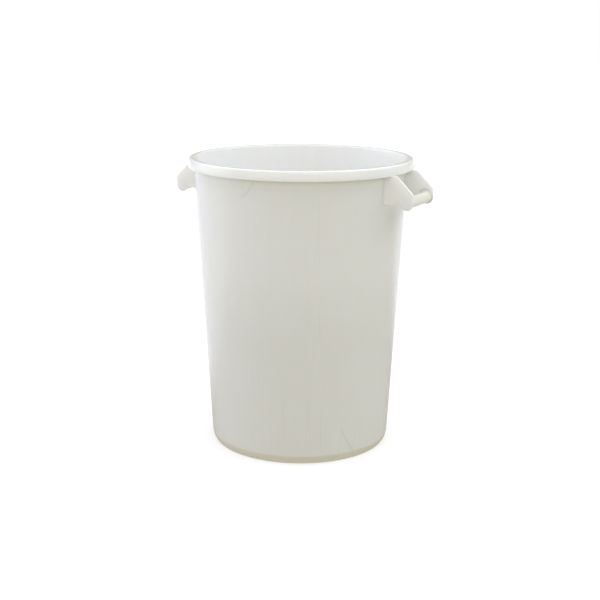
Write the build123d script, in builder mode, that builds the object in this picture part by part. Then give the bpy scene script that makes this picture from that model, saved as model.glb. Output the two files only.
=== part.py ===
from build123d import *
import os

# Open head drum: a tapered round tub with a turned-down rim and a lifting handle on each side.
# Frame: origin at the centre of the base on the ground, +Z up, the handles on +X and -X.
# All lengths are in millimetres.

# Driving dimensions of the tub
drum_height = 654.0
wall_thickness = 4.2
wall_radius_at_rim = 239.8  # outer face of the wall, carried up to the rim plane
wall_radius_at_foot = 204.2  # outer face of the wall at the top of the rounded foot
foot_height = 18.0
foot_radius = 196.7  # outer edge of the flat ring that the drum stands on
foot_bulge = 2.0  # the foot's curve stands out from its straight chord by this much
foot_edge = 1.0
base_recess = 3.0  # the middle of the base is lifted clear of the ground
recess_radius = 180.0
recess_slope = 5.0
recess_blend = 2.0
floor_corner = 10.0

# Rim: a flat flange turned down into a flared skirt
rim_radius = 250.0
skirt_radius = 253.0
skirt_height = 22.0
skirt_thickness = 3.2
flange_thickness = 4.0
rim_edge = 1.8
skirt_lip_edge = 1.0
channel_corner = 1.2

# Handles: two upright ears and a round grip between them
handle_width = 116.0  # over the outer faces of the two ears
ear_thickness = 4.0
ear_reach = 295.8  # from the drum's axis to the ear's upright outer edge
ear_top_drop = 20.2  # the ear's flat top, below the rim plane
ear_top_end = 258.0
ear_shoulder_drop = 56.7
ear_foot_drop = 83.6  # the ear's straight lower edge, at the wall
ear_foot_rise = 3.4  # what that edge climbs on its way out to the lobe
ear_corner = 4.0
ear_edge = 1.3
ear_root = 2.5
lobe_radius = 14.6
lobe_blend = 8.5
lobe_drop = 77.8
grip_reach = 281.2  # from the drum's axis to the middle of the grip
grip_drop = 76.7
grip_radius = 12.4
grip_flare = 0.9  # the grip swells by this much where it meets an ear
spigot_radius = 7.0
spigot_length = 2.5

# The hidden edge of an ear runs inside the wall and the skirt, which are then cut from it
ear_hidden_foot = 226.3
ear_hidden_top = 231.1
ear_in_flange = 242.7
ear_in_skirt = 245.2
ear_hidden_drop = 3.0

# Values that follow from the driving dimensions
flange_underside = drum_height - flange_thickness
floor_height = base_recess + wall_thickness
wall_slope = (wall_radius_at_rim - wall_radius_at_foot) / (drum_height - foot_height)
skirt_flare = (skirt_radius - rim_radius) / skirt_height
ear_inner_face = handle_width / 2 - ear_thickness
lobe_reach = ear_reach - lobe_radius
lobe_height = drum_height - lobe_drop
grip_height = drum_height - grip_drop


def wall_radius(height):
    """Radius of the wall's outer face at a height above the ground."""
    return wall_radius_at_foot + wall_slope * (height - foot_height)


def round_corners(sketch, corners):
    """Rounds the corner of the sketch that is nearest to each point, by the radius given with it."""
    for point, radius in corners:
        fillet(sketch.vertices().sort_by_distance(point)[0], radius)


def make_drum_body():
    """Wall, base, rim flange and skirt: one moulding, turned about the Z axis."""
    foot_start = (foot_radius, 0)
    foot_end = (wall_radius_at_foot, foot_height)
    flange_root = (wall_radius(flange_underside), flange_underside)
    skirt_root = (rim_radius + skirt_flare * flange_thickness - skirt_thickness, flange_underside)
    lip_inner = (skirt_radius - skirt_thickness, drum_height - skirt_height)
    lip_outer = (skirt_radius, drum_height - skirt_height)
    rim_outer = (rim_radius, drum_height)
    rim_inner = (wall_radius_at_rim - wall_thickness, drum_height)
    floor_edge = (wall_radius(floor_height) - wall_thickness, floor_height)
    recess_top = (recess_radius - recess_slope, base_recess)
    recess_foot = (recess_radius, 0)
    with BuildPart() as drum_body:
        with BuildSketch(Plane.XZ) as section:
            with BuildLine():
                Polyline((0, floor_height), (0, base_recess), recess_top, recess_foot, foot_start)
                SagittaArc(foot_start, foot_end, -foot_bulge)
                Polyline(foot_end, flange_root, skirt_root, lip_inner, lip_outer, rim_outer,
                         rim_inner, floor_edge, (0, floor_height))
            make_face()
            round_corners(section, [
                (recess_top, recess_blend),
                (recess_foot, foot_edge),
                (foot_start, foot_edge),
                (flange_root, channel_corner),
                (skirt_root, channel_corner),
                (lip_inner, skirt_lip_edge),
                (lip_outer, skirt_lip_edge),
                (rim_outer, rim_edge),
                (rim_inner, rim_edge),
                (floor_edge, floor_corner),
            ])
        revolve(axis=Axis.Z)
    return drum_body.part


def make_wall_cone():
    """The wall's outer cone as a full solid, reaching past both ends of an ear."""
    low = drum_height - 2 * ear_foot_drop
    high = drum_height + ear_foot_drop
    with BuildPart() as wall_cone:
        with BuildSketch(Plane.XZ):
            Polygon((0, low), (wall_radius(low), low), (wall_radius(high), high), (0, high), align=None)
        revolve(axis=Axis.Z)
    return wall_cone.part


def make_ear_plate():
    """The flat plate of the right front ear, with a round lobe where the grip is held."""
    shoulder = (ear_reach, drum_height - ear_shoulder_drop)
    top_end = (ear_top_end, drum_height - ear_top_drop)
    lobe_centre = (lobe_reach, lobe_height)
    foot_end = (lobe_reach, drum_height - ear_foot_drop + ear_foot_rise)
    with BuildPart() as plate:
        with BuildSketch(Plane.XZ.offset(ear_inner_face)) as outline:
            Polygon(
                (ear_hidden_foot, drum_height - ear_foot_drop),
                foot_end,
                lobe_centre,
                (ear_reach, lobe_height),
                shoulder,
                top_end,
                (ear_in_skirt, drum_height - ear_top_drop),
                (ear_in_flange, drum_height - ear_hidden_drop),
                (ear_hidden_top, drum_height - ear_hidden_drop),
                align=None,
            )
            with Locations(lobe_centre):
                Circle(lobe_radius)
            round_corners(outline, [
                ((lobe_reach - lobe_radius, foot_end[1]), lobe_blend),
                (shoulder, ear_corner),
                (top_end, ear_corner),
            ])
        extrude(amount=ear_thickness)
        fillet(plate.faces().filter_by(Axis.Y).edges(), ear_edge)
    return plate.part


def make_ear(drum_body):
    """The right front ear: its root flares into the wall, and the rim and the wall are cut from it."""
    plate = make_ear_plate()
    wall_cone = make_wall_cone()
    with BuildPart() as ear:
        add(plate)
        add(wall_cone)
        fillet(new_edges(plate, wall_cone, combined=ear.part), ear_root)
        add(wall_cone, mode=Mode.SUBTRACT)
        add(drum_body, mode=Mode.SUBTRACT)
        with BuildSketch(Plane.XZ.offset(ear_inner_face)):
            with Locations((grip_reach, grip_height)):
                Circle(spigot_radius)
        extrude(amount=spigot_length, mode=Mode.SUBTRACT)
    return ear.part


def make_grip():
    """The right grip: a round bar, flared where it meets the ears, with a smaller spigot at each end."""
    end = ear_inner_face
    tip = end + spigot_length
    surface = grip_reach + grip_radius
    spigot_surface = grip_reach + spigot_radius
    flare_centre = surface + grip_flare
    with BuildPart() as grip:
        with BuildSketch(Plane.XY.offset(grip_height)):
            with BuildLine():
                CenterArc((flare_centre, grip_flare - end), grip_flare, 180, 90)
                CenterArc((flare_centre, end - grip_flare), grip_flare, 90, 90)
                Line((surface, grip_flare - end), (surface, end - grip_flare))
                Polyline((flare_centre, -end), (spigot_surface, -end), (spigot_surface, -tip),
                         (grip_reach, -tip), (grip_reach, tip), (spigot_surface, tip),
                         (spigot_surface, end), (flare_centre, end))
            make_face()
        revolve(axis=Axis((grip_reach, 0, grip_height), (0, 1, 0)))
    return grip.part


def write_piece(name, shape, mirror_planes=()):
    """Mirrors a finished piece to its place, labels it and writes its file."""
    with BuildPart() as piece:
        add(shape)
        for plane in mirror_planes:
            mirror(about=plane, mode=Mode.REPLACE)
    piece.part.label = name
    export_step(piece.part, f"parts/{name}.step")


os.makedirs("parts", exist_ok=True)
body = make_drum_body()
right_front_ear = make_ear(body)
right_grip = make_grip()
write_piece("drum_body", body)
write_piece("right_front_ear", right_front_ear)
write_piece("right_rear_ear", right_front_ear, [Plane.XZ])
write_piece("left_front_ear", right_front_ear, [Plane.YZ])
write_piece("left_rear_ear", right_front_ear, [Plane.XZ, Plane.YZ])
write_piece("right_grip", right_grip)
write_piece("left_grip", right_grip, [Plane.YZ])
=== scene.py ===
import math
import bmesh
import bpy
from mathutils import Matrix, Vector, noise


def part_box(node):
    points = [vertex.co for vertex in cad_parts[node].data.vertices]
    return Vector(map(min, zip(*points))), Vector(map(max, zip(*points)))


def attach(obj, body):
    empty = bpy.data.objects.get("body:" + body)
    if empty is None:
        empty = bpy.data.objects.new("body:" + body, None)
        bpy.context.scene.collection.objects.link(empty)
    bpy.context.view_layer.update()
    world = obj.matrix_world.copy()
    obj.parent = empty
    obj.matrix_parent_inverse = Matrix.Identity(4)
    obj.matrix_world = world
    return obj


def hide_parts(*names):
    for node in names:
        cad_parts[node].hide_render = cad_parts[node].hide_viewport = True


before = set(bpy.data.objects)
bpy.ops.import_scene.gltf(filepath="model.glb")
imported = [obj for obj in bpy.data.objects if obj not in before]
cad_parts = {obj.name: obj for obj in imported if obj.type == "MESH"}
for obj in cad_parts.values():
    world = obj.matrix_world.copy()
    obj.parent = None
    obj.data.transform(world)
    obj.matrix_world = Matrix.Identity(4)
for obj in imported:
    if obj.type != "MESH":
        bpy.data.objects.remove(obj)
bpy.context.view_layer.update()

mm = 0.001
weldDistance = 0.002 * mm   # points closer than this become one
snapDistance = 0.0001 * mm  # a cut this close to a point goes through it


# Colours are written as sRGB hex and turned to linear here
def hexColour(text):
    channels = [int(text[i:i + 2], 16) / 255 for i in (1, 3, 5)]
    linear = [c / 12.92 if c <= 0.04045 else ((c + 0.055) / 1.055) ** 2.4 for c in channels]
    return (*linear, 1.0)


# Adds one node with its settings; links gives the output that feeds each named or numbered input
def addNode(tree, kind, settings=None, values=None, links=None):
    node = tree.nodes.new(kind)
    for key, value in (settings or {}).items():
        setattr(node, key, value)
    for key, value in (values or {}).items():
        node.inputs[key].default_value = value
    for key, output in (links or {}).items():
        tree.links.new(output, node.inputs[key])
    return node


def newMaterial(name):
    material = bpy.data.materials.new(name)
    material.use_nodes = True
    material.node_tree.nodes.clear()
    return material, material.node_tree


def paint(piece, material):
    piece.data.materials.clear()
    piece.data.materials.append(material)


def meshObject(name, bm, smoothAngle=40):
    mesh = bpy.data.meshes.new(name)
    bm.to_mesh(mesh)
    bm.free()
    piece = bpy.data.objects.new(name, mesh)
    bpy.context.scene.collection.objects.link(piece)
    mesh.shade_smooth()
    mesh.set_sharp_from_angle(angle=math.radians(smoothAngle))
    return piece


# Camera: above the rim and to the right of the front, looking down a little
camera = {
    "turnDegrees": 27.8,      # round the drum from its front, towards the right handle
    "distance": 2.5985,       # from the drum's axis, in metres
    "height": 0.9718,
    "tiltDegrees": 14.05,     # downwards
    "rollDegrees": 0.3,
    "sensor": 36,             # mm
    "lens": 69.7,
    "shift": (-0.0007, 0.0008),
    "clip": (0.05, 60),
}


def aroundDrum(turnDegrees, distance, height):
    turn = math.radians(turnDegrees)
    return Vector((distance * math.sin(turn), -distance * math.cos(turn), height))


def makeCamera():
    data = bpy.data.cameras.new("camera")
    data.sensor_width = camera["sensor"]
    data.lens = camera["lens"]
    data.shift_x, data.shift_y = camera["shift"]
    data.clip_start, data.clip_end = camera["clip"]
    shot = bpy.data.objects.new("camera", data)
    bpy.context.scene.collection.objects.link(shot)
    turn, tilt, roll = (math.radians(camera[key]) for key in ("turnDegrees", "tiltDegrees", "rollDegrees"))
    turned = (Matrix.Rotation(turn, 4, "Z") @ Matrix.Rotation(math.pi / 2 - tilt, 4, "X")
              @ Matrix.Rotation(roll, 4, "Z"))
    place = aroundDrum(camera["turnDegrees"], camera["distance"], camera["height"])
    shot.matrix_world = Matrix.Translation(place) @ turned
    bpy.context.scene.camera = shot
    print("camera ready")


# Light: a white room with a large soft panel in front, and a dark gap at each side of that panel
studio = {
    # the room by degrees round from the viewer, anticlockwise from above: brightness and colour
    "walls": [
        (0, 1.12, "#F7FFED"), (57, 1.12, "#F7FFED"), (61, 0.20, "#FFFFFF"), (76, 0.20, "#FFFFFF"),
        (84, 0.80, "#F2FFE0"), (130, 0.80, "#F2FFE0"), (140, 0.42, "#FFFBD4"), (190, 0.42, "#FFFBD4"),
        (200, 0.50, "#FFEED9"), (230, 0.50, "#FFEED9"), (235, 1.90, "#F6FBFF"), (276, 1.90, "#F6FBFF"),
        (281, 0.50, "#FFFFFF"), (300, 0.50, "#FFFFFF"), (305, 0.20, "#FFFFFF"), (312, 1.12, "#F7FFED"),
        (360, 1.12, "#F7FFED"),
    ],
    # above the walls the panels lean inwards, and are read the same way
    "slope": [
        (0, 1.14, "#FFF9FC"), (50, 1.14, "#FFF9FC"), (70, 2.30, "#F5F6FF"), (120, 2.30, "#F5F6FF"),
        (140, 1.45, "#EAEDFF"), (220, 1.45, "#EAEDFF"), (240, 1.70, "#EEF0FF"), (290, 1.70, "#EEF0FF"),
        (310, 1.14, "#FFF9FC"), (360, 1.14, "#FFF9FC"),
    ],
    "ceiling": [(0, 1.22, "#F1F3FF"), (360, 1.22, "#F1F3FF")],
    "slopeFrom": (0.38, 0.52),     # where each band takes over, as heights on a sphere of radius 1
    "ceilingFrom": (0.80, 0.92),
    "backdrop": (1, 1, 1, 1),      # what the camera sees of the room
}

# Floor: matt paint, which a lit sweep far behind the drum brightens
floorPaint = {
    "size": 40,                # metres, as everything here
    "cells": 8,
    "gap": 0.0003,             # keeps the floor clear of the ring that the drum stands on
    "colour": "#CFCFCD",
    "lift": 0.42,              # keeps the floor as white as the backdrop, and the drum's shadow faint
    "mottleSize": 0.33333,
    "mottle": 0.99,            # the darkest patches, where the lightest are 1
    "roughness": 0.95,
    "bounce": "#827E74",       # what the floor throws back up is dim and warm
    # its own glow by metres past the drum, along a line this many degrees round from the viewer
    "glowTowards": 202,
    "glow": [
        (0, 0.27, "#FFF7E4"), (0.25, 0.27, "#FFF7E4"), (0.7, 0.95, "#EEF2FF"), (1.0, 0.95, "#EEF2FF"),
    ],
}


def litColour(brightness, colour):
    return (*(brightness * channel for channel in hexColour(colour)[:3]), 1.0)


# Soft panels in a row: one colour ramp, with each stop at its place along the span
def panelRow(tree, stops, span, share):
    row = addNode(tree, "ShaderNodeValToRGB", links={"Fac": share})
    ramp = row.color_ramp.elements
    while len(ramp) < len(stops):
        ramp.new(0.5)
    for stop, (place, brightness, colour) in zip(ramp, stops):
        stop.position = place / span
        stop.color = litColour(brightness, colour)
    return row.outputs["Color"]


def makeRoom():
    world = bpy.data.worlds.new("room")
    bpy.context.scene.world = world
    world.use_nodes = True
    tree = world.node_tree
    tree.nodes.clear()
    where = addNode(tree, "ShaderNodeTexCoord").outputs["Generated"]
    towardsViewer = math.radians(90 - camera["turnDegrees"])
    turned = addNode(tree, "ShaderNodeMapping", {"vector_type": "POINT"},
                     {"Rotation": (0, 0, towardsViewer + math.pi)}, {"Vector": where})
    split = addNode(tree, "ShaderNodeSeparateXYZ", links={0: turned.outputs[0]})
    around = addNode(tree, "ShaderNodeMath", {"operation": "ARCTAN2"},
                     links={0: split.outputs["Y"], 1: split.outputs["X"]})
    share = addNode(tree, "ShaderNodeMapRange", values={"From Min": -math.pi, "From Max": math.pi},
                    links={"Value": around.outputs[0]})
    fullTurn = 360
    sky = panelRow(tree, studio["walls"], fullTurn, share.outputs[0])
    for band in ("slope", "ceiling"):
        low, high = studio[band + "From"]
        rise = addNode(tree, "ShaderNodeMapRange", {"interpolation_type": "SMOOTHSTEP"},
                       {"From Min": low, "From Max": high}, {"Value": split.outputs["Z"]})
        ring = panelRow(tree, studio[band], fullTurn, share.outputs[0])
        sky = addNode(tree, "ShaderNodeMix", {"data_type": "RGBA"}, {},
                      {"Factor": rise.outputs[0], "A": sky, "B": ring}).outputs["Result"]
    ray = addNode(tree, "ShaderNodeLightPath")
    light = addNode(tree, "ShaderNodeBackground", links={"Color": sky})
    backdrop = addNode(tree, "ShaderNodeBackground", values={"Color": studio["backdrop"], "Strength": 1.0})
    mixed = addNode(tree, "ShaderNodeMixShader", links={
        0: ray.outputs["Is Camera Ray"], 1: light.outputs[0], 2: backdrop.outputs[0]})
    addNode(tree, "ShaderNodeOutputWorld", links={"Surface": mixed.outputs[0]})
    print("room ready")


# The floor as the camera sees it: pale and faintly mottled
def seenFloor(tree, place):
    mottle = addNode(tree, "ShaderNodeTexNoise",
                     values={"Scale": 1 / floorPaint["mottleSize"], "Detail": 3.0}, links={"Vector": place})
    shade = addNode(tree, "ShaderNodeMapRange", values={"To Min": floorPaint["mottle"], "To Max": 1.0},
                    links={"Value": mottle.outputs["Fac"]})
    tint = addNode(tree, "ShaderNodeMix", {"data_type": "RGBA", "blend_type": "MULTIPLY"},
                   {"Factor": 1.0, "A": hexColour(floorPaint["colour"])}, {"B": shade.outputs[0]})
    return addNode(tree, "ShaderNodeBsdfPrincipled",
                   values={"Roughness": floorPaint["roughness"], "Specular IOR Level": 0.0,
                           "Emission Color": (1, 1, 1, 1), "Emission Strength": floorPaint["lift"]},
                   links={"Base Color": tint.outputs["Result"]})


# The floor as it lights the drum from below: dim near it, and glowing further behind it
def bounceFloor(tree, place):
    line = math.radians(camera["turnDegrees"] - 90 + floorPaint["glowTowards"])
    alongLine = addNode(tree, "ShaderNodeMapping", {"vector_type": "POINT"}, {"Rotation": (0, 0, -line)},
                        {"Vector": place})
    past = addNode(tree, "ShaderNodeSeparateXYZ", links={0: alongLine.outputs[0]})
    span = floorPaint["glow"][-1][0]
    share = addNode(tree, "ShaderNodeMapRange", values={"From Min": 0.0, "From Max": span},
                    links={"Value": past.outputs["X"]})
    return addNode(tree, "ShaderNodeBsdfPrincipled",
                   values={"Base Color": hexColour(floorPaint["bounce"]), "Specular IOR Level": 0.0,
                           "Roughness": floorPaint["roughness"], "Emission Strength": 1.0},
                   links={"Emission Color": panelRow(tree, floorPaint["glow"], span, share.outputs[0])})


def makeFloor():
    bm = bmesh.new()
    bmesh.ops.create_grid(bm, x_segments=floorPaint["cells"], y_segments=floorPaint["cells"],
                          size=floorPaint["size"] / 2)
    bmesh.ops.translate(bm, verts=bm.verts[:], vec=(0, 0, -floorPaint["gap"]))
    floor = meshObject("floor", bm)
    material, tree = newMaterial("matte painted studio floor")
    place = addNode(tree, "ShaderNodeTexCoord").outputs["Object"]
    seen, bounce = seenFloor(tree, place), bounceFloor(tree, place)
    ray = addNode(tree, "ShaderNodeLightPath")
    skin = addNode(tree, "ShaderNodeMixShader", links={
        0: ray.outputs["Is Camera Ray"], 1: bounce.outputs[0], 2: seen.outputs[0]})
    addNode(tree, "ShaderNodeOutputMaterial", links={"Surface": skin.outputs[0]})
    paint(floor, material)
    scene = bpy.context.scene
    scene.view_settings.view_transform = "Standard"
    scene.view_settings.look = "None"
    print("floor ready")


# Rounds one corner of a flat outline to a radius, in a number of steps
def roundCorner(bm, corner, radius, steps=5):
    before, after = (edge.other_vert(corner).co - corner.co for edge in corner.link_edges)
    turn = math.pi - before.angle(after)
    bmesh.ops.bevel(bm, geom=[corner], offset=radius * math.tan(turn / 2), offset_type="OFFSET",
                    affect="VERTICES", segments=steps, profile=0.5, material=-1, clamp_overlap=True)


# Spins a closed outline whose first and last corners lie on the axis.
# Each corner is (distance from the axis, distance along it, rounding radius), in millimetres.
def turnedShape(corners, centre, outward, axis, turns, cell):
    bm = bmesh.new()
    verts = [bm.verts.new(centre + outward * out * mm + axis * along * mm) for out, along, _ in corners]
    bm.faces.new(verts)
    axisEdge = bm.edges.get((verts[0], verts[-1]))
    for vert, (_, _, radius) in zip(verts, corners):
        if radius:
            roundCorner(bm, vert, radius * mm)
    bmesh.ops.delete(bm, geom=bm.faces[:], context="FACES_ONLY")
    bmesh.ops.delete(bm, geom=[axisEdge], context="EDGES")
    for edge in bm.edges[:]:
        cuts = int(edge.calc_length() / (cell * mm))
        if cuts:
            bmesh.ops.subdivide_edges(bm, edges=[edge], cuts=cuts)
    bmesh.ops.spin(bm, geom=bm.verts[:] + bm.edges[:], cent=centre, axis=axis, angle=math.tau,
                   steps=turns, use_merge=True, use_duplicate=False)
    bmesh.ops.remove_doubles(bm, verts=bm.verts[:], dist=weldDistance)
    bmesh.ops.recalc_face_normals(bm, faces=bm.faces[:])
    return bm


# Tub: wall, foot, floor, rim flange and turned-down skirt, in one moulding, in millimetres
tub = {
    "wallThickness": 4.2,
    "wallRadiusAtRim": 239.8,  # the outside of the wall, carried up to the rim
    "wallRadiusAtFoot": 204.2,
    "footHeight": 18.0,
    "footTopRound": 1.6,
    "footKnee": (202.1, 8.0),  # where the foot turns in under the wall, and how roundly
    "footKneeRound": 13.0,
    "footRadius": 196.7,       # the flat ring that the drum stands on
    "footRound": 1.0,
    "recessRadius": 180.0,     # the base inside that ring is lifted clear of the ground
    "recessHeight": 3.0,
    "recessSlope": 5.0,
    "recessRound": 2.0,
    "floorRound": 10.0,
    "rimRadius": 249.2,
    "rimRound": 4.0,
    "skirtRadius": 252.9,      # at its widest
    "skirtBelly": 11.0,        # how far down that is
    "skirtBellyRound": 44.0,
    "skirtHeight": 22.0,
    "skirtThickness": 3.2,
    "skirtLean": 1.0,          # how far it has leaned out by the underside of the flange
    "lipRadius": 252.3,        # the skirt's lower edge
    "lipRounds": (1.0, 1.2),   # inside and outside
    "flangeThickness": 4.0,
    "channelRound": 1.2,
    "ledge": (2.4, 1.0),       # a small step down round the mouth, inside the flat top: width and drop
    "ledgeRounds": (0.5, 0.4, 0.9),
    "gateRadius": 5.0,         # the trimmed stub where the plastic flowed in, under the base
    "gateHeight": 1.6,
    "gateDraft": 1.0,
    "gateRounds": (0.4, 0.6),
    "ripple": 0.28,            # the wall's unevenness after it cooled
    "rippleSize": 110.0,
    "rippleTop": 40.0,         # the stiff rim keeps the wall true this far down
    "rippleFade": (50.0, 80.0),
    "turns": 288,
    "cell": 14.0,
}
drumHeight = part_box("drum_body")[1][2] / mm


# The outside of the wall at a height above the ground
def wallRadius(height):
    slope = (tub["wallRadiusAtRim"] - tub["wallRadiusAtFoot"]) / (drumHeight - tub["footHeight"])
    return tub["wallRadiusAtFoot"] + slope * (height - tub["footHeight"])


# Half of the tub's section, from the middle of the base outwards, up, over the rim and down inside
def tubCorners():
    top, base = drumHeight, tub["recessHeight"]
    flange, lip = top - tub["flangeThickness"], top - tub["skirtHeight"]
    wall, skirt = tub["wallThickness"], tub["skirtThickness"]
    floor = base + wall
    gate, gateFoot = tub["gateRadius"], base - tub["gateHeight"]
    mouth = tub["wallRadiusAtRim"] - wall
    ledge, drop = tub["ledge"]
    return [
        (0, gateFoot, 0),
        (gate, gateFoot, tub["gateRounds"][0]),
        (gate + tub["gateDraft"], base, tub["gateRounds"][1]),
        (tub["recessRadius"] - tub["recessSlope"], base, tub["recessRound"]),
        (tub["recessRadius"], 0, tub["footRound"]),
        (tub["footRadius"], 0, tub["footRound"]),
        (*tub["footKnee"], tub["footKneeRound"]),
        (tub["wallRadiusAtFoot"], tub["footHeight"], tub["footTopRound"]),
        (wallRadius(flange), flange, tub["channelRound"]),
        (tub["rimRadius"] + tub["skirtLean"] - skirt, flange, tub["channelRound"]),
        (tub["lipRadius"] - skirt, lip, tub["lipRounds"][0]),
        (tub["lipRadius"], lip, tub["lipRounds"][1]),
        (tub["skirtRadius"], top - tub["skirtBelly"], tub["skirtBellyRound"]),
        (tub["rimRadius"], top, tub["rimRound"]),
        (mouth + ledge, top, tub["ledgeRounds"][0]),
        (mouth + ledge, top - drop, tub["ledgeRounds"][1]),
        (mouth, top - drop, tub["ledgeRounds"][2]),
        (wallRadius(floor) - wall, floor, tub["floorRound"]),
        (0, floor, 0),
    ]


# Lets the wall wander in and out a little between the foot and the rim
def rippleWall(bm):
    low, high = tub["footHeight"] * mm, (drumHeight - tub["rippleTop"]) * mm
    fadeLow, fadeHigh = (reach * mm for reach in tub["rippleFade"])
    for vert in bm.verts:
        height = vert.co.z
        if low < height < high:
            fade = min(1, (height - low) / fadeLow, (high - height) / fadeHigh)
            push = noise.noise(vert.co / (tub["rippleSize"] * mm)) * tub["ripple"] * mm * fade
            out = Vector((vert.co.x, vert.co.y, 0))
            vert.co += out.normalized() * push


def makeTub():
    outward, upward = Vector((1, 0, 0)), Vector((0, 0, 1))
    bm = turnedShape(tubCorners(), Vector(), outward, upward, tub["turns"], tub["cell"])
    rippleWall(bm)
    piece = meshObject("tub", bm)
    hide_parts("drum_body")
    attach(piece, "root")
    print("tub ready:", len(piece.data.polygons), "faces")
    return piece


# Grips: round bars that swell where they meet the ears, in millimetres
grip = {
    "radius": 12.4,
    "flare": 1.4,
    "flareRound": 1.33,
    "webReach": 5.0,           # where the ear is wide, the end swells by this much more
    "webLength": 5.5,
    "webTowards": (0.6, 0.8),  # that is towards the drum, and up
    "webSpread": 1.5,          # higher keeps the swelling closer to that direction
    "skinShare": 0.9,          # points beyond this share of the radius swell, and the bar's flat ends don't
    "earFace": 54.0,           # from the middle of the grip to each ear
    "seat": 0.3,               # how far the bar's end sits into the ear
    "turns": 72,
    "cell": 1.0,
}


# Swells both ends of a grip towards the drum and upwards, into the widest part of the ears
def webEnds(bm, centre):
    inward, upward = grip["webTowards"]
    towardsDrum = Vector((-inward if centre.x > 0 else inward, 0, upward))
    for vert in bm.verts:
        away = vert.co - centre
        along, away.y = abs(away.y) / mm, 0
        near = max(0, 1 - (grip["earFace"] - along) / grip["webLength"]) if along < grip["earFace"] else 1
        if near > 0 and away.length > grip["radius"] * grip["skinShare"] * mm:
            facing = max(0, away.normalized().dot(towardsDrum))
            swell = 1 - math.sqrt(max(0, 1 - near ** 2))
            vert.co += away.normalized() * swell * facing ** grip["webSpread"] * grip["webReach"] * mm


def makeGrip(name, node):
    low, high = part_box(node)
    centre = Vector(((low[0] + high[0]) / 2, 0, (low[2] + high[2]) / 2))
    radius, wide = grip["radius"], grip["radius"] + grip["flare"]
    end, tip = grip["earFace"], grip["earFace"] + grip["seat"]
    corners = [(0, -tip, 0), (wide, -tip, 0), (wide, -end, 0), (radius, -end, grip["flareRound"]),
               (radius, end, grip["flareRound"]), (wide, end, 0), (wide, tip, 0), (0, tip, 0)]
    bm = turnedShape(corners, centre, Vector((0, 0, 1)), Vector((0, 1, 0)), grip["turns"], grip["cell"])
    webEnds(bm, centre)
    piece = meshObject(name, bm)
    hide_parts(node)
    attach(piece, "root")
    print(name, "ready")
    return piece


# Ears: upright plates with a round lobe, grown out of the wall and the underside of the rim, in millimetres
ear = {
    "thickness": 4.0,
    "topDrop": 20.2,           # drops are measured down from the rim
    "topEnd": 258.0,
    "shoulderDrop": 56.7,
    "footDrop": 83.6,
    "footRise": 3.4,
    "lobeRadius": 14.6,
    "lobeDrop": 77.8,
    "lobeSteps": 22,
    "lobeBlend": 8.5,          # the hollow curve that leads into the lobe
    "blendSteps": 6,
    "corner": 4.0,
    "edge": 1.9,
    "edgeSteps": 3,
    "root": 3.6,               # the plate thickens by this much each side as it runs into the wall
    "rootBelow": 0.6,          # and its lower edge by this share of that
    "rootDrop": 51.8,          # the root is cut square to the wall as it stands this far down
    "rootCuts": 7,
    "rootCrowding": 1.5,       # higher crowds the cuts nearer to the wall
    "sunkFoot": 226.3,         # the edge that is sunk into the wall, the flange and the skirt
    "sunkTop": 231.1,
    "sunkDrop": 3.0,
    "inFlange": 242.7,
    "inSkirt": 245.2,
}


def arcPoints(centre, radius, start, end, steps):
    angles = (start + (end - start) * i / steps for i in range(steps + 1))
    return [(centre.x + radius * math.cos(a), centre.y + radius * math.sin(a)) for a in angles]


# The ear's outline as (distance out, height, rounding radius), anticlockwise from the foot of its root
def earOutline(reach):
    foot = Vector((ear["sunkFoot"], drumHeight - ear["footDrop"]))
    lobe = Vector((reach - ear["lobeRadius"], drumHeight - ear["lobeDrop"]))
    along = (Vector((lobe.x, foot.y + ear["footRise"])) - foot).normalized()
    down = Vector((along.y, -along.x))
    blend, radius = ear["lobeBlend"], ear["lobeRadius"]
    below = (lobe - foot).dot(down)
    run = (lobe - foot).dot(along) - math.sqrt((radius + blend) ** 2 - (blend - below) ** 2)
    hollow = foot + along * run + down * blend
    toLobe = lobe - hollow
    lean = math.atan2(toLobe.y, toLobe.x)
    curve = arcPoints(hollow, blend, math.atan2(-down.y, -down.x), lean, ear["blendSteps"])
    curve += arcPoints(lobe, radius, lean + math.pi, math.tau, ear["lobeSteps"])[1:]
    top, sunk = drumHeight - ear["topDrop"], drumHeight - ear["sunkDrop"]
    return ([(foot.x, foot.y, 0)] + [(x, z, 0) for x, z in curve]
            + [(reach, drumHeight - ear["shoulderDrop"], ear["corner"]), (ear["topEnd"], top, ear["corner"]),
               (ear["inSkirt"], top, 0), (ear["inFlange"], sunk, 0), (ear["sunkTop"], sunk, 0)])


# The right rear ear as a flat plate with rounded edges
def earPlate(reach):
    outline = earOutline(reach)
    bm = bmesh.new()
    verts = [bm.verts.new((x * mm, grip["earFace"] * mm, z * mm)) for x, z, _ in outline]
    bm.faces.new(verts)
    for vert, (_, _, radius) in zip(verts, outline):
        if radius:
            roundCorner(bm, vert, radius * mm)
    grown = bmesh.ops.extrude_face_region(bm, geom=bm.faces[:], use_keep_orig=True)["geom"]
    bmesh.ops.translate(bm, verts=[g for g in grown if isinstance(g, bmesh.types.BMVert)],
                        vec=(0, ear["thickness"] * mm, 0))
    bmesh.ops.recalc_face_normals(bm, faces=bm.faces[:])
    flatSides = [face for face in bm.faces if len(face.verts) > 4]
    rims = [edge for edge in bm.edges if any(face in flatSides for face in edge.link_faces)]
    bmesh.ops.bevel(bm, geom=rims, offset=ear["edge"] * mm, offset_type="OFFSET", affect="EDGES",
                    segments=ear["edgeSteps"], profile=0.5, material=-1, clamp_overlap=True)
    return bm


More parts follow.
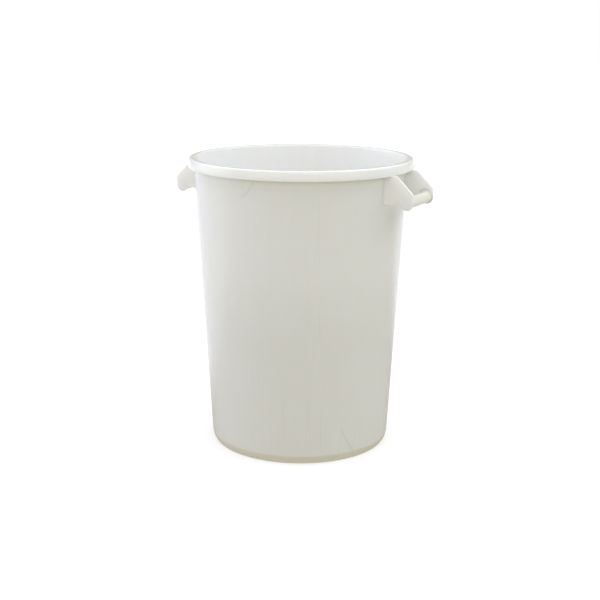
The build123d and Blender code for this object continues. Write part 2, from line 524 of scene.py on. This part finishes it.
# Cuts rings into the plate near the wall, and widens each one to make the rounded root
def growRoot(bm):
    root = ear["root"] * mm
    middle = (grip["earFace"] + ear["thickness"] / 2) * mm
    height = drumHeight - ear["rootDrop"]
    out = math.sqrt((wallRadius(height) * mm) ** 2 - middle ** 2)
    wallPoint = Vector((out, middle, height * mm))
    square = Vector((out, middle, 0)).normalized()
    square.z = (wallRadius(0) - wallRadius(drumHeight)) / drumHeight
    square.normalize()
    for i in range(ear["rootCuts"]):
        distance = root * (i / (ear["rootCuts"] - 1)) ** ear["rootCrowding"]
        bmesh.ops.bisect_plane(bm, geom=bm.verts[:] + bm.edges[:] + bm.faces[:], dist=snapDistance,
                               plane_co=wallPoint + square * distance, plane_no=square)
    lowerEdge = (drumHeight - ear["footDrop"] + 2 * ear["edge"]) * mm
    for vert in bm.verts:
        gap = max(0, math.hypot(vert.co.x, vert.co.y) - wallRadius(vert.co.z / mm) * mm)
        if gap < root:
            widen = root - math.sqrt(root ** 2 - (root - gap) ** 2)
            vert.co.y += widen * (vert.co.y - middle) / (ear["thickness"] / 2 * mm)
            if vert.co.z < lowerEdge:
                vert.co.z -= widen * ear["rootBelow"]


def makeEar(name, node):
    low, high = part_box(node)
    bm = earPlate(max(abs(low[0]), abs(high[0])) / mm)
    growRoot(bm)
    side, end = 1 if low[0] > 0 else -1, 1 if low[1] > 0 else -1
    bmesh.ops.scale(bm, verts=bm.verts[:], vec=(side, end, 1))
    bmesh.ops.remove_doubles(bm, verts=bm.verts[:], dist=weldDistance)
    bmesh.ops.recalc_face_normals(bm, faces=bm.faces[:])
    piece = meshObject(name, bm)
    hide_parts(node)
    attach(piece, "root")
    print(name, "ready")
    return piece


# Natural high-density polyethylene, injection moulded: milky, satin and slightly see-through,
# with soft edges to its shadows. Sizes are in millimetres.
hdpe = {
    "colour": "#FBFBF9",
    "thick": "#F7F6EF",        # where more plastic lies behind the surface
    "scatterDepth": 1.6,       # how far light wanders inside it
    "scatterBalance": (1.0, 0.95, 0.85),  # red wanders furthest
    "ior": 1.54,
    "roughness": (0.16, 0.27),
    "cloudSize": 90.0,
    "streakWidth": 9.0,        # faint upright streaks, left by the mould as the wall slid out
    "streakSquash": 0.04,      # width for height
    "grainSize": 2.5,          # the mould's eroded grain is 0.3 mm: drawn coarser, or it wouldn't show
    "grainDepth": 0.03,
    "grainStrength": 0.5,
    "peelSize": 14.0,          # a soft orange peel under the grain
    "peelDepth": 0.12,
    "peelStrength": 0.6,
    "footShadeAndDust": "#D2C890",        # painted warm shade where the drum meets the ground, with dust and scuffs, low on the outside
    "footShadeAndDustHeight": 18.0,
    "footShadeAndDustFade": 2.0,
    "footShadeAndDustFrom": (188.0, 200.0),  # from the drum's axis, so that the inside stays clean
    "footShadeAndDustStrength": 0.28,
    "footShadeAndDustPatch": 16.6667,
    "footShadeAndDustContrast": (0.3, 0.7),
    "footShadeAndDustThinnest": 0.8,      # the cleanest patches still have this share of it
    "speck": "#8C8470",        # a few dark specks, baked into the plastic
    "speckGap": 48.0,
    "speckRadius": 1.1,
    "speckShare": 0.16,
    "speckStrength": 0.5,
    "scratchGap": 60.0,        # long shallow scratches, mostly upright, only here and there
    "scratchWidth": (0.48, 0.12),  # out to its faint edge, and to its full strength
    "scratchTurn": (0.22, -0.16, 0),
    "scratchSquash": 0.05,
    "scratchPatch": 142.857,
    "scratchRare": (0.56, 0.62),  # they come in between these levels of a broad noise
    "scratchShade": 0.93,
    "scratchDull": 0.06,
}

# The ears are thick enough for light to get lost in them, so they look softer
earPlastic = {**hdpe, "scatterDepth": 2.2}

# The tub's thin wall and flange let light through, so painted shade makes them greyer than the thick corner
# of the rim
tubPlastic = {
    **hdpe,
    "thinWallShade": "#F0F0F2",     # painted shade on the outside of the wall, below the rim
    "thinWallShadeBelow": (2.0, 20.0),  # under the skirt: where that starts, and where it is full
    "wallEdge": 0.5,           # half the blend between the wall's outer and inner faces
    "lowWallShade": "#F8F8F7",      # painted shade: the wall is painted a little darker and deeper in colour towards its bottom
    "lowWallShadeFrom": (460.0, 260.0),  # heights above the ground, again its start and its full strength
    "rimTopShade": "#E5E5E4",      # painted shade on the flat top of the rim
    "rimTopShadeFrom": (1.6, 0.2),  # down from the rim
    "rimTopShadeEdge": (0.2, 2.6),  # in from the rim's outer edge
}

# The grips are worn smooth by hands: creamier, glossier and denser, so that their roundness shows
gripPlastic = {
    **hdpe,
    "colour": "#EBE9E1",
    "thick": "#E3E1D5",
    "scatterDepth": 0.8,
    "roughness": (0.14, 0.22),
}


# Streaks and clouds: where the plastic lies denser
def plasticDensity(tree, look, place):
    cloud = addNode(tree, "ShaderNodeTexNoise",
                    values={"Scale": 1 / (look["cloudSize"] * mm), "Detail": 3.0}, links={"Vector": place})
    tall = addNode(tree, "ShaderNodeMapping", values={"Scale": (1, 1, look["streakSquash"])},
                   links={"Vector": place})
    streak = addNode(tree, "ShaderNodeTexNoise",
                     values={"Scale": 1 / (look["streakWidth"] * mm), "Detail": 2.0},
                     links={"Vector": tall.outputs[0]})
    density = addNode(tree, "ShaderNodeMath", {"operation": "MULTIPLY"},
                      links={0: cloud.outputs["Fac"], 1: streak.outputs["Fac"]})
    return density.outputs[0]


# Paints shade onto the thin wall, its lower part and the rim's flat top, each inside its own mask
def paintThinShade(tree, look, height, outward, base):
    slope = (wallRadius(drumHeight) - wallRadius(0)) / drumHeight
    past = addNode(tree, "ShaderNodeMath", {"operation": "MULTIPLY_ADD"}, {1: -slope},
                   {0: height, 2: outward})
    face, edge = (wallRadius(0) - tub["wallThickness"] / 2) * mm, look["wallEdge"] * mm
    onWall = addNode(tree, "ShaderNodeMapRange", values={"From Min": face - edge, "From Max": face + edge},
                     links={"Value": past.outputs[0]})
    skirtFoot = drumHeight - tub["skirtHeight"]
    start, full = look["thinWallShadeBelow"]
    belowRim = addNode(tree, "ShaderNodeMapRange",
                       values={"From Min": (skirtFoot - start) * mm, "From Max": (skirtFoot - full) * mm},
                       links={"Value": height})
    highest, lowest = look["lowWallShadeFrom"]
    below = addNode(tree, "ShaderNodeMapRange", {"interpolation_type": "SMOOTHSTEP"},
                    {"From Min": highest * mm, "From Max": lowest * mm}, {"Value": height})
    low, high = look["rimTopShadeFrom"]
    atTop = addNode(tree, "ShaderNodeMapRange",
                    values={"From Min": (drumHeight - low) * mm, "From Max": (drumHeight - high) * mm},
                    links={"Value": height})
    outer, inner = look["rimTopShadeEdge"]
    withinEdge = addNode(tree, "ShaderNodeMapRange",
                         values={"From Min": (tub["rimRadius"] - outer) * mm,
                                 "From Max": (tub["rimRadius"] - inner) * mm},
                         links={"Value": outward})
    # each mask multiplies its painted shade into the colour
    for first, second, shade in ((onWall, belowRim, "thinWallShade"), (onWall, below, "lowWallShade"),
                                 (atTop, withinEdge, "rimTopShade")):
        mask = addNode(tree, "ShaderNodeMath", {"operation": "MULTIPLY"},
                       links={0: first.outputs[0], 1: second.outputs[0]})
        base = addNode(tree, "ShaderNodeMix", {"data_type": "RGBA", "blend_type": "MULTIPLY"},
                       {"B": hexColour(look[shade])},
                       {"Factor": mask.outputs[0], "A": base}).outputs["Result"]
    return base


# Painted shade and dust low on the outside, near the ground, broken up by noise
def addFootShadeAndDust(tree, look, place, height, outward, base):
    inside, outside = look["footShadeAndDustFrom"]
    onOutside = addNode(tree, "ShaderNodeMapRange",
                        values={"From Min": inside * mm, "From Max": outside * mm},
                        links={"Value": outward})
    lowDown = addNode(tree, "ShaderNodeMapRange", {"interpolation_type": "SMOOTHSTEP"},
                      {"From Min": (look["footShadeAndDustHeight"] + look["footShadeAndDustFade"]) * mm,
                       "From Max": (look["footShadeAndDustHeight"] - look["footShadeAndDustFade"]) * mm,
                       "To Max": look["footShadeAndDustStrength"]}, {"Value": height})
    here = addNode(tree, "ShaderNodeMath", {"operation": "MULTIPLY"},
                   links={0: onOutside.outputs[0], 1: lowDown.outputs[0]})
    patchy = addNode(tree, "ShaderNodeTexNoise",
                     values={"Scale": 1 / (look["footShadeAndDustPatch"] * mm), "Detail": 4.0}, links={"Vector": place})
    thinnest, thickest = look["footShadeAndDustContrast"]
    broken = addNode(tree, "ShaderNodeMapRange",
                     values={"From Min": thinnest, "From Max": thickest, "To Min": look["footShadeAndDustThinnest"]},
                     links={"Value": patchy.outputs["Fac"]})
    footShadeAndDust = addNode(tree, "ShaderNodeMath", {"operation": "MULTIPLY"},
                    links={0: here.outputs[0], 1: broken.outputs[0]})
    return addNode(tree, "ShaderNodeMix", {"data_type": "RGBA"}, {"B": hexColour(look["footShadeAndDust"])},
                   {"Factor": footShadeAndDust.outputs[0], "A": base}).outputs["Result"]


# Dark specks: a dot at the middle of one cell in a few
def addSpecks(tree, look, place, base):
    cells = addNode(tree, "ShaderNodeTexVoronoi", values={"Scale": 1 / (look["speckGap"] * mm)},
                    links={"Vector": place})
    edge = look["speckRadius"] / look["speckGap"]
    dot = addNode(tree, "ShaderNodeMapRange",
                  values={"From Min": edge, "From Max": edge / 2, "To Max": look["speckStrength"]},
                  links={"Value": cells.outputs["Distance"]})
    pick = addNode(tree, "ShaderNodeSeparateColor", links={0: cells.outputs["Color"]})
    chosen = addNode(tree, "ShaderNodeMath", {"operation": "LESS_THAN"}, {1: look["speckShare"]},
                     {0: pick.outputs["Red"]})
    speck = addNode(tree, "ShaderNodeMath", {"operation": "MULTIPLY"},
                    links={0: dot.outputs[0], 1: chosen.outputs[0]})
    return addNode(tree, "ShaderNodeMix", {"data_type": "RGBA"}, {"B": hexColour(look["speck"])},
                   {"Factor": speck.outputs[0], "A": base}).outputs["Result"]


# Scratches: the edges of tall leaning cells, kept only where a broad noise is high
def scratchLines(tree, look, place):
    leaning = addNode(tree, "ShaderNodeMapping",
                      values={"Rotation": look["scratchTurn"], "Scale": (1, 1, look["scratchSquash"])},
                      links={"Vector": place})
    lines = addNode(tree, "ShaderNodeTexVoronoi", {"feature": "DISTANCE_TO_EDGE"},
                    {"Scale": 1 / (look["scratchGap"] * mm)}, {"Vector": leaning.outputs[0]})
    edge, deep = (width / look["scratchGap"] for width in look["scratchWidth"])
    line = addNode(tree, "ShaderNodeMapRange", values={"From Min": edge, "From Max": deep},
                   links={"Value": lines.outputs["Distance"]})
    patch = addNode(tree, "ShaderNodeTexNoise",
                    values={"Scale": 1 / (look["scratchPatch"] * mm), "Detail": 1.0}, links={"Vector": place})
    start, full = look["scratchRare"]
    rare = addNode(tree, "ShaderNodeMapRange", values={"From Min": start, "From Max": full},
                   links={"Value": patch.outputs["Fac"]})
    scratch = addNode(tree, "ShaderNodeMath", {"operation": "MULTIPLY"},
                      links={0: line.outputs[0], 1: rare.outputs[0]})
    return scratch.outputs[0]


# Moulded grain over a soft orange peel
def mouldedBump(tree, look, place):
    normal = {}
    for layer, detail in (("grain", 2.0), ("peel", 1.0)):
        texture = addNode(tree, "ShaderNodeTexNoise",
                          values={"Scale": 1 / (look[layer + "Size"] * mm), "Detail": detail},
                          links={"Vector": place})
        bump = addNode(tree, "ShaderNodeBump",
                       values={"Strength": look[layer + "Strength"], "Distance": look[layer + "Depth"] * mm},
                       links={"Height": texture.outputs["Fac"], **normal})
        normal = {"Normal": bump.outputs[0]}
    return normal


def makeHdpe(name, look):
    material, tree = newMaterial(name)
    place = addNode(tree, "ShaderNodeTexCoord").outputs["Object"]
    height = addNode(tree, "ShaderNodeSeparateXYZ", links={0: place}).outputs["Z"]
    flat = addNode(tree, "ShaderNodeMapping", values={"Scale": (1, 1, 0)}, links={"Vector": place})
    outward = addNode(tree, "ShaderNodeVectorMath", {"operation": "LENGTH"},
                      links={0: flat.outputs[0]}).outputs["Value"]
    density = plasticDensity(tree, look, place)
    colour = addNode(tree, "ShaderNodeMix", {"data_type": "RGBA"},
                     {"A": hexColour(look["colour"]), "B": hexColour(look["thick"])},
                     {"Factor": density}).outputs["Result"]
    # painted shade on the thin wall, the lower wall and the rim's flat top
    if "thinWallShade" in look:
        colour = paintThinShade(tree, look, height, outward, colour)
    # painted warm shade near the ground, with some dust
    colour = addFootShadeAndDust(tree, look, place, height, outward, colour)
    colour = addSpecks(tree, look, place, colour)
    scratch = scratchLines(tree, look, place)
    shade = addNode(tree, "ShaderNodeMapRange", values={"To Min": 1.0, "To Max": look["scratchShade"]},
                    links={"Value": scratch})
    colour = addNode(tree, "ShaderNodeMix", {"data_type": "RGBA", "blend_type": "MULTIPLY"},
                     {"Factor": 1.0}, {"A": colour, "B": shade.outputs[0]}).outputs["Result"]

    # a satin gloss, duller where the plastic is dense and in the scratches
    smooth, rough = look["roughness"]
    gloss = addNode(tree, "ShaderNodeMapRange", values={"To Min": smooth, "To Max": rough},
                    links={"Value": density})
    dull = addNode(tree, "ShaderNodeMath", {"operation": "MULTIPLY_ADD"}, {1: look["scratchDull"]},
                   {0: scratch, 2: gloss.outputs[0]})
    skin = addNode(tree, "ShaderNodeBsdfPrincipled", {"subsurface_method": "RANDOM_WALK"},
                   {"IOR": look["ior"], "Subsurface Weight": 1.0,
                    "Subsurface Radius": look["scatterBalance"],
                    "Subsurface Scale": look["scatterDepth"] * mm},
                   {"Base Color": colour, "Roughness": dull.outputs[0], **mouldedBump(tree, look, place)})
    addNode(tree, "ShaderNodeOutputMaterial", links={"Surface": skin.outputs[0]})
    print(name, "ready")
    return material


makeCamera()
makeRoom()
makeFloor()
earMaterial = makeHdpe("moulded natural polyethylene", earPlastic)
tubMaterial = makeHdpe("thin-walled natural polyethylene, painted shade", tubPlastic)
gripMaterial = makeHdpe("moulded polyethylene, polished by hands", gripPlastic)
paint(makeTub(), tubMaterial)
for side in ("right", "left"):
    paint(makeGrip(side + "Grip", side + "_grip"), gripMaterial)
    for end in ("front", "rear"):
        paint(makeEar(side + end.capitalize() + "Ear", side + "_" + end + "_ear"), earMaterial)
